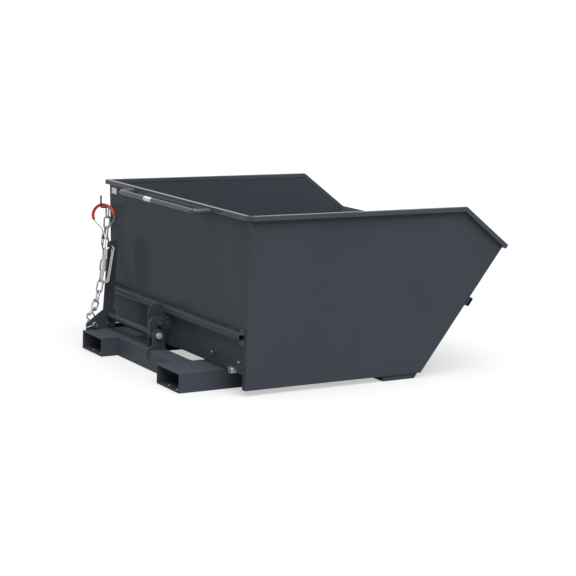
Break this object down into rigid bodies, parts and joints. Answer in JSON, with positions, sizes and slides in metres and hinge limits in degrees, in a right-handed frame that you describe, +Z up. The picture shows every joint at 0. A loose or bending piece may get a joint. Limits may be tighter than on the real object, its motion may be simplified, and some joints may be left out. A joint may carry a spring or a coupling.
{
  "type": "tipping skip",
  "caption": "Sheet-steel tipping skip hinged on a base with fork pockets, with a push handle, a release latch and lever, a safety chain and a pull rope.",
  "frame": {"origin": "on the ground under the middle of the length and width, fork pockets to rim lip", "axes": "+X the way the skip pours, +Y the side of the lever and chain, +Z up"},
  "size_m": [1.4532, 1.2985, 0.716],
  "materials": {
    "coat": "semi-gloss anthracite powder coat",
    "zinc": "bright zinc plate",
    "wire": "bare stranded wire",
    "sleeve": "red hose",
    "black": "matt black",
    "plate": "matt blank plate",
    "stub": "grey rubber"
  },
  "bodies": {
    "base": {"fork_pocket_far": "coat", "fork_pocket_near": "coat", "rear_crossbeam": "coat", "front_crossbeam": "coat", "crossbeam_end_plates": "coat", "rest_pads": "black", "pivot_ears": "coat", "pivot_pins": "zinc", "pivot_washers": "zinc", "pivot_split_pins": "zinc", "latch_bracket_tall": "coat", "latch_bracket_low": "coat", "chain_bracket": "coat", "chain_bolt": "zinc", "chain_bolt_nut": "zinc", "bolt_clip": "zinc", "bracket_bolts": "zinc"},
    "skip": {"back_wall": "coat", "side_wall_far": "coat", "side_wall_near": "coat", "floor_plate": "coat", "front_plate": "coat", "rim_rear": "coat", "rim_far": "coat", "rim_near": "coat", "rim_front_lip": "coat", "front_stiffener": "coat", "rear_rail": "coat", "rail_end_plates": "coat", "push_handle": "coat", "catch_backing_plate": "coat", "catch_plates": "coat", "catch_pin": "zinc", "pivot_lugs": "coat", "rope_peg": "coat", "stop_stubs": "stub", "wall_studs": "coat", "blank_plate": "plate", "safety_chain": "zinc", "chain_end_hook": "zinc", "rope_hank": "wire", "hank_tie": "black", "rope_tail": "wire", "rope_riser": "wire", "hand_loop": "wire", "loop_sleeve": "sleeve", "loop_ferrule": "black"},
    "latch": {"latch_shaft": "coat", "latch_axle": "zinc", "axle_nut": "zinc", "axle_spacer": "zinc", "latch_hook": "coat", "release_lever": "coat"}
  },
  "joints": [
    {"name": "skip_tip", "type": "hinge", "parent": "base", "child": "skip", "pos_m": [0.28843, 0, 0.062], "axis": [0, 1, 0], "range_deg": [0, 50]},
    {"name": "latch_release", "type": "hinge", "parent": "base", "child": "latch", "pos_m": [-0.60407, 0, 0.14], "axis": [0, -1, 0], "range_deg": [0, 22]}
  ]
}
